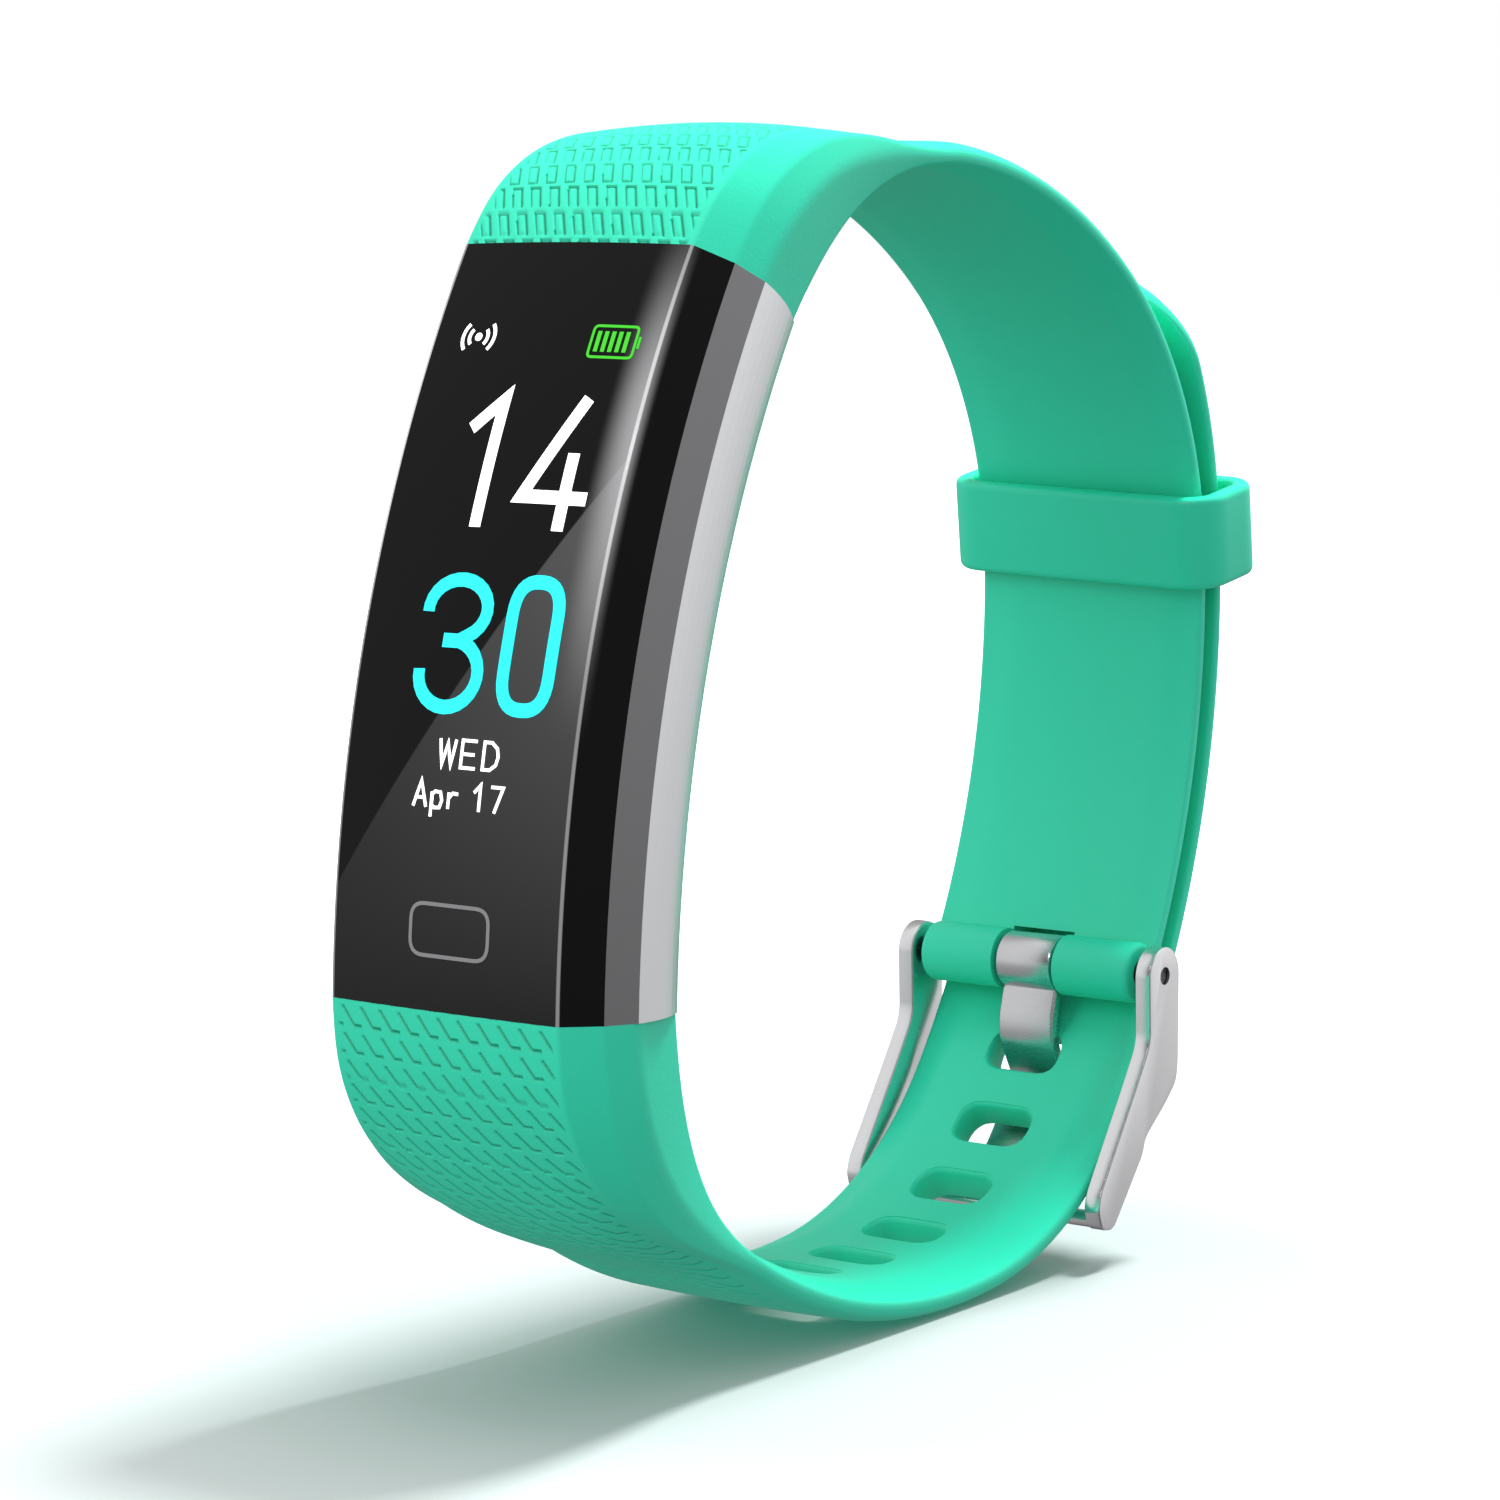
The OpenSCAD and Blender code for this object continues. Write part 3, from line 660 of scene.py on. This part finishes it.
def smooth_path(points, steps=5):
    """A Catmull-Rom curve through the points."""
    p = [np.array(q, float) for q in points]
    p = [2 * p[0] - p[1]] + p + [2 * p[-1] - p[-2]]
    out = []
    for i in range(1, len(p) - 2):
        for k in range(steps):
            t = k / steps
            out.append(0.5 * (2 * p[i] + (p[i + 1] - p[i - 1]) * t
                              + (2 * p[i - 1] - 5 * p[i] + 4 * p[i + 1] - p[i + 2]) * t * t
                              + (3 * p[i] - p[i - 1] - 3 * p[i + 1] + p[i + 2]) * t ** 3))
    out.append(p[-2])
    return np.array(out)


def tongue():
    path = smooth_path(TONGUE_PATH)
    step = np.gradient(path, axis=0)
    step /= np.linalg.norm(step, axis=1)[:, None]
    side = np.column_stack([-step[:, 1], step[:, 0]]) * TONGUE_HALF_T
    strip = list(path + side) + list((path - side)[::-1])
    half, r = TONGUE_HALF_W, RING_R
    obj = prism("Buckle_Tongue", strip, -half, half, TONGUE)
    bevel(obj, 0.2)
    edge = [(half - 0.15, r), (half - 0.05, r - 0.05), (half, r - 0.15)]
    ring = turned("ring", [(-x, y) for x, y in edge[::-1]] + edge, TONGUE)
    boolean(obj, ring, "UNION")
    boolean(obj, turned("bore", through(RING_BORE_R), TONGUE))
    smooth(obj, 30)
    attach(obj, "buckle_tongue")
    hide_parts("buckle_tongue")


# ---------------------------------------------------------------- what the display shows
LIFT, INK = 0.012, 0.03


def on_glass(x, arc, height):
    """A point above the glass: x across, arc in mm down from its top end."""
    r = CASE_R + CROWN * (1 - (x / (GLASS_W / 2)) ** 2) + height
    q = CASE_CENTRE + r * direction(TOP_ANGLE + arc / CASE_R * 180 / math.pi)
    return (x, q[0], q[1])


def ribbon(points, width, closed=False):
    """Left and right edges of a stroke, with mitred corners."""
    p = np.array(points, float)
    n = len(p)
    left, right = [], []
    for i in range(n):
        before = p[i - 1] if closed or i else None
        after = p[(i + 1) % n] if closed or i < n - 1 else None
        dirs = []
        if before is not None:
            dirs.append((p[i] - before) / np.linalg.norm(p[i] - before))
        if after is not None:
            dirs.append((after - p[i]) / np.linalg.norm(after - p[i]))
        normals = [np.array([-d[1], d[0]]) for d in dirs]
        m = sum(normals)
        m /= np.linalg.norm(m)
        m *= width / 2 / max(np.dot(m, normals[0]), 0.4)
        left.append(p[i] + m)
        right.append(p[i] - m)
    return np.array(left), np.array(right)


def resample(points, step=0.5, closed=False):
    pts = [np.array(q, float) for q in points]
    pairs = list(zip(pts, pts[1:] + pts[:1])) if closed else list(zip(pts, pts[1:]))
    out = []
    for a, b in pairs:
        n = max(1, int(np.linalg.norm(b - a) / step))
        out += [a + (b - a) * k / n for k in range(n)]
    if not closed:
        out.append(pts[-1])
    return out


def strokes(name, lines, width, mat, slot="display"):
    """Thin raised strokes on the glass. Each line is (points, closed)."""
    verts, faces = [], []
    for points, closed in lines:
        left, right = ribbon(resample(points, closed=closed), width, closed)
        base, n = len(verts), len(left)
        for l, r in zip(left, right):
            verts += [on_glass(*l, LIFT), on_glass(*r, LIFT)]
            verts += [on_glass(*r, LIFT + INK), on_glass(*l, LIFT + INK)]
        for i in range(n if closed else n - 1):
            a, b = base + 4 * i, base + 4 * ((i + 1) % n)
            faces += [(a + k, a + (k + 1) % 4, b + (k + 1) % 4, b + k) for k in range(4)]
        if not closed:
            faces += [(base + 3, base + 2, base + 1, base),
                      tuple(base + 4 * (n - 1) + k for k in range(4))]
    obj = new_object(name, to_frame(verts), faces, mat)
    recalc(obj)
    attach(obj, "tracker")
    return obj


def arc_line(cx, cy, rx, ry, a0, a1, n):
    angles = [rad(a0 + (a1 - a0) * i / n) for i in range(n + 1)]
    return [(cx + rx * math.cos(a), cy - ry * math.sin(a)) for a in angles]


# Each character is strokes of (points, closed) in a box one wide and one tall
GLYPHS = {
    "W": [([(0, 0), (0.22, 1), (0.5, 0.1), (0.78, 1), (1, 0)], False)],
    "E": [([(0.95, 0), (0.05, 0), (0.05, 1), (0.95, 1)], False), ([(0.05, 0.5), (0.85, 0.5)], False)],
    "D": [([(0.05, 0), (0.5, 0), (0.85, 0.2), (0.95, 0.5), (0.85, 0.8), (0.5, 1), (0.05, 1)], True)],
    "A": [([(0, 1), (0.5, 0), (1, 1)], False), ([(0.2, 0.65), (0.8, 0.65)], False)],
    "p": [([(0.1, 1.35), (0.1, 0.4)], False),
          ([(0.1, 0.5), (0.35, 0.38), (0.75, 0.4), (0.9, 0.7), (0.75, 0.98), (0.35, 1), (0.1, 0.9)], True)],
    "r": [([(0.1, 1), (0.1, 0.38)], False), ([(0.1, 0.6), (0.4, 0.4), (0.8, 0.42)], False)],
    "1": [([(0.1, 0.3), (0.55, 0), (0.55, 1)], False)],
    "7": [([(0.05, 0.03), (0.95, 0.03), (0.4, 1)], False)],
    " ": [],
}


def lettering(text, x, top, tall, wide, gap):
    """The strokes of a line of text that starts at x."""
    lines = []
    for c in text:
        for points, closed in GLYPHS[c]:
            lines.append(([(x + q[0] * wide, top + q[1] * tall) for q in points], closed))
        x += wide + gap if c != " " else wide * 0.6
    return lines


def display():
    hours = [([(-3.0, 10.75), (-1.25, 9.1), (-1.25, 16.05)], False),
             ([(4.15, 8.9), (1.35, 14.3), (5.5, 14.3)], False),
             ([(4.1, 11.9), (4.1, 16.05)], False)]
    strokes("Display_Hours", hours, 0.72, WHITE_GLOW)
    three = ([(-3.2, 20.6)] + arc_line(-1.25, 20.4, 1.95, 1.55, 175, -62, 16)
             + [(-0.9, 22.05)])
    three_low = arc_line(-1.25, 23.75, 1.95, 1.75, 78, -172, 18) + [(-3.2, 23.6)]
    zero = rounded([(2.36, 18.75), (5.24, 18.75), (5.24, 25.35), (2.36, 25.35)], 1.75, steps=8)
    strokes("Display_Minutes", [(three, False), ([(-1.9, 22.05), (-1.0, 22.05)] + three_low, False),
                                ([tuple(q) for q in zero], True)], 0.74, CYAN_GLOW)
    date = lettering("WED", -1.1, 27.1, 1.4, 1.05, 0.38) + lettering("Apr 17", -2.5, 29.3, 1.35, 0.86, 0.26)
    strokes("Display_Date", date, 0.17, WHITE_GLOW)
    signal = []
    for side in (-1, 1):
        for r in (0.62, 1.08):
            signal.append(([(-4.34 + side * r * math.cos(rad(a)), 5.6 - r * math.sin(rad(a)))
                            for a in range(-42, 43, 12)], False))
    signal.append((circle(0.13, 12, (-4.34, 5.6)), True))
    strokes("Display_Signal", signal, 0.2, WHITE_GLOW)
    body = rounded([(3.2, 4.85), (6.0, 4.85), (6.0, 6.6), (3.2, 6.6)], 0.25, steps=3)
    cell = [([(3.62 + 0.45 * i, 5.15), (3.62 + 0.45 * i, 6.3)], False) for i in range(5)]
    strokes("Display_Battery", [([tuple(q) for q in body], True), ([(6.22, 5.4), (6.22, 6.05)], False)], 0.14,
            GREEN_GLOW)
    strokes("Display_Battery_Bars", cell, 0.24, GREEN_GLOW)
    key = rounded([(-2.1, 35.55), (3.0, 35.55), (3.0, 38.2), (-2.1, 38.2)], 0.85, steps=6)
    strokes("Touch_Key_Outline", [([tuple(q) for q in key], True)], 0.2, GREY_PRINT_PAINTED_GLOW, slot="cover_glass")


# ---------------------------------------------------------------- cover glass
def case_rings(section, steps=120):
    """A case section, [(x, depth)], swept round the case's curve."""
    rings = []
    for i in range(steps + 1):
        d = direction(CASE_ANGLE - CASE_HALF + 2 * CASE_HALF * i / steps)
        rings.append([(x, *(CASE_CENTRE + (CASE_R - depth) * d)) for x, depth in section])
    return to_frame(rings)


# colour of the painted highlights on the glass: the streak by the right edge and the chamfer lines
PAINTED_HIGHLIGHT = srgb(235, 235, 237)
SLANT_BLUR = 0.00005


def cover_glass():
    """Dark glass: a crowned front, a small polished chamfer and a black facet each side."""
    half, chamfer = GLASS_W / 2, 0.1
    crown = [(x, -CROWN * (1 - (x / half) ** 2)) for x in np.linspace(half - chamfer, -half + chamfer, 31)]
    step = np.array([FACET[0] - half, FACET[1]]) / math.hypot(FACET[0] - half, FACET[1]) * chamfer
    right = [(FACET[0], FACET[1]), (half + step[0], step[1])]
    left = [(-x, y) for x, y in right[::-1]]
    below = [(-8.4, FACET[1]), (-half + 0.4, 0.95), (half - 0.4, 0.95), (8.4, FACET[1])]
    obj = new_object("Cover_Glass", *loft(case_rings(right + crown + left + below)), GLASS, sharp=14)
    recalc(obj)
    smooth(obj, 14)
    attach(obj, "tracker")
    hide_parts("cover_glass")


def glass_painted_reflection():
    """A slanted line across the front, dark above it and a painted reflection below, with a painted highlight
    streak by the right edge.
    """
    tree = GLASS.node_tree
    place = tree.nodes.new("ShaderNodeTexCoord").outputs["Object"]
    split = tree.nodes.new("ShaderNodeSeparateXYZ")
    tree.links.new(place, split.inputs[0])
    x, z = split.outputs["X"], split.outputs["Z"]
    glass_lo, glass_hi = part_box("cover_glass")
    half = GLASS_W / 2 * MM

    # the slanted line runs between two points of the front, in a plane square to the middle of the glass
    start, end = to_frame([on_glass(7.97, 11.2, 0), on_glass(-6.6, 33.8, 0)])
    normal = np.cross(end - start, np.array([0.0, *direction(CASE_ANGLE)]))
    normal /= np.linalg.norm(normal)
    if normal[0] < 0:
        normal = -normal
    dot = tree.nodes.new("ShaderNodeVectorMath")
    dot.operation = "DOT_PRODUCT"
    dot.inputs[1].default_value = tuple(normal)
    tree.links.new(place, dot.inputs[0])
    offset = float(normal @ start)
    below_line = map_range(tree, dot.outputs["Value"], offset - SLANT_BLUR, offset + SLANT_BLUR)
    # below the line, a painted reflection: grey, lighter towards the top and towards +x
    fall = map_range(tree, z, glass_lo[2], mix(glass_lo[2], glass_hi[2], 0.75))
    across = map_range(tree, x, -half, half, 0.3, 1.0)
    grey = mix_colours(tree, calculate(tree, "MULTIPLY", fall, across), srgb(36, 36, 37), srgb(98, 98, 99))
    colour = mix_colours(tree, below_line, srgb(17, 17, 18), grey)

    def step(value, lo, hi, to_lo=0.0, to_hi=1.0):
        return map_range(tree, value, lo, hi, to_lo, to_hi, "SMOOTHSTEP")

    def times(a, b):
        return calculate(tree, "MULTIPLY", a, b)

    size = calculate(tree, "ABSOLUTE", x, 0.0)
    colour = mix_colours(tree, step(size, half, half + 0.00005), colour, srgb(20, 20, 21))
    # a painted highlight streak just inside the right edge, brightest about three quarters up the glass
    peak = mix(glass_lo[2], glass_hi[2], 0.76)
    near_peak = times(step(z, peak - 0.016, peak), step(z, peak, peak + 0.012, 1.0, 0.0))
    left_of_edge = step(x, half - 0.0022, half - 0.0001)
    right_of_edge = step(x, half - 0.0001, half + 0.0004, 1.0, 0.0)
    glow = times(times(left_of_edge, right_of_edge), near_peak)
    colour = mix_colours(tree, times(glow, 0.5), colour, PAINTED_HIGHLIGHT)
    # a painted highlight along the chamfer lines on both sides, stronger at the height of the streak
    line_in = step(size, half - 0.00016, half - 0.00008)
    line_out = step(size, half + 0.00002, half + 0.00008, 1.0, 0.0)
    line = times(times(line_in, line_out), step(near_peak, 0.0, 1.0, 0.35, 1.0))
    colour = mix_colours(tree, line, colour, PAINTED_HIGHLIGHT)
    tree.links.new(colour, tree.nodes["Principled BSDF"].inputs["Base Color"])


# ---------------------------------------------------------------- stage, light and camera
def ramp(tree, value, stops):
    """A grey ramp over value, 0 to 1; stops are (position, grey)."""
    node = tree.nodes.new("ShaderNodeValToRGB")
    elements = node.color_ramp.elements
    while len(elements) < len(stops):
        elements.new(0.5)
    for element, (position, grey) in zip(elements, stops):
        element.position = position
        element.color = (grey, grey, grey, 1)
    tree.links.new(value, node.inputs["Fac"])
    return node.outputs["Color"]


# What polished surfaces see round the room: (degrees from the front towards the right, brightness)
ROOM = [(-180, 0.85), (-150, 0.35), (-110, 0.5), (-80, 0.8), (-40, 0.85), (-10, 0.7), (15, 0.35), (45, 0.25),
        (84, 0.4), (96, 0.6), (108, 0.8), (125, 1.0), (180, 0.95)]
FLOOR_SIZE = 3.0
WHITE = (1.0, 1.0, 1.0, 1.0)


def floor():
    """A floor that takes the shadow near the band and glows to white further off; near the band its dim
    green-grey colour is painted shade, where the glow is off.
    """
    mat = bpy.data.materials.new("floor")
    mat.use_nodes = True
    tree = mat.node_tree
    shader = tree.nodes["Principled BSDF"]
    # dim and green-tinted: painted shade, seen only near the band where the emission is off
    shader.inputs["Base Color"].default_value = (0.5, 0.56, 0.55, 1)
    shader.inputs["Roughness"].default_value = 0.9
    shader.inputs["Specular IOR Level"].default_value = 0.0
    shader.inputs["Emission Color"].default_value = WHITE
    distance = tree.nodes.new("ShaderNodeVectorMath")
    distance.operation = "LENGTH"
    tree.links.new(tree.nodes.new("ShaderNodeTexCoord").outputs["Object"], distance.inputs[0])
    # no emission within 3 cm of the middle, full from 16 cm: painted shade round the band, white further off
    glow = map_range(tree, distance.outputs["Value"], 0.03, 0.16)
    tree.links.new(glow, shader.inputs["Emission Strength"])
    corners = [(-FLOOR_SIZE, -FLOOR_SIZE, 0), (FLOOR_SIZE, -FLOOR_SIZE, 0), (FLOOR_SIZE, FLOOR_SIZE, 0),
               (-FLOOR_SIZE, FLOOR_SIZE, 0)]
    obj = new_object("Floor", corners, [(0, 1, 2, 3)], mat)
    obj.visible_glossy = False
    obj.visible_diffuse = False


def studio():
    """A white room to the camera; reflections and diffuse light each see a room of their own."""
    scene = bpy.context.scene
    scene.view_settings.view_transform = "Standard"
    world = bpy.data.worlds.new("studio")
    scene.world = world
    world.use_nodes = True
    tree = world.node_tree
    path = tree.nodes.new("ShaderNodeLightPath")
    split = tree.nodes.new("ShaderNodeSeparateXYZ")
    tree.links.new(tree.nodes.new("ShaderNodeTexCoord").outputs["Generated"], split.inputs[0])
    x, y, z = [split.outputs[axis] for axis in "XYZ"]
    azimuth = calculate(tree, "ARCTAN2", x, calculate(tree, "MULTIPLY", y, -1.0))
    turn = map_range(tree, azimuth, -math.pi, math.pi)
    upward = map_range(tree, z, -1.0, 1.0)
    rightward = map_range(tree, x, -1.0, 1.0)
    room = ramp(tree, turn, [((a + 180) / 360, v) for a, v in ROOM])
    overhead = ramp(tree, z, [(0.82, 0), (0.97, 1)])
    height = ramp(tree, upward, [(0.0, 0.3), (0.35, 0.5), (0.5, 0.95), (0.75, 1.0)])
    glossy = mix_colours(tree, 1.0, mix_colours(tree, overhead, room, WHITE), height, "MULTIPLY")
    sky = ramp(tree, upward, [(0.0, 0.42), (0.42, 0.55), (0.55, 0.85), (1.0, 0.95)])
    sideways = ramp(tree, rightward, [(0.0, 1.0), (0.45, 1.0), (1.0, 0.72)])
    ambient = mix_colours(tree, 1.0, sky, sideways, "MULTIPLY")
    lit = mix_colours(tree, path.outputs["Is Glossy Ray"], ambient, glossy)
    seen = mix_colours(tree, path.outputs["Is Camera Ray"], lit, WHITE)
    tree.links.new(seen, tree.nodes["Background"].inputs["Color"])


def area_light(name, azimuth, elevation, distance, size, power, glossy=False, diffuse=True):
    light = bpy.data.lights.new(name, "AREA")
    light.shape = "DISK"
    light.size = size
    light.energy = power
    obj = bpy.data.objects.new(name, light)
    a, e = rad(azimuth), rad(elevation)
    back = Vector((math.sin(a) * math.cos(e), -math.cos(a) * math.cos(e), math.sin(e)))
    obj.location = Vector((0, 0, 0.035)) + back * distance
    obj.rotation_mode = "QUATERNION"
    obj.rotation_quaternion = (-back).to_track_quat("-Z", "Y")
    obj.visible_glossy = glossy
    obj.visible_diffuse = diffuse
    bpy.context.scene.collection.objects.link(obj)


def camera():
    data = bpy.data.cameras.new("camera")
    data.lens = 106.92
    data.sensor_width = 36.0
    obj = bpy.data.objects.new("camera", data)
    obj.location = (0.14516, -0.20604, 0.06208)
    obj.rotation_euler = (rad(90 - 6.774), 0.0, rad(36.125))
    bpy.context.scene.collection.objects.link(obj)
    bpy.context.scene.camera = obj


buckle_strap()
hole_strap()
keeper()
for arm_side in (-1, 1):
    buckle_arm(arm_side)
buckle_bar()
tongue()
cover_glass()
glass_painted_reflection()
display()
floor()
studio()
area_light("Key", azimuth=172, elevation=64, distance=0.8, size=0.18, power=9.0)
area_light("Front", azimuth=-10, elevation=25, distance=0.9, size=0.6, power=2.0)
area_light("Glint", azimuth=12, elevation=37, distance=0.9, size=0.12, power=1.2, glossy=True, diffuse=False)
camera()
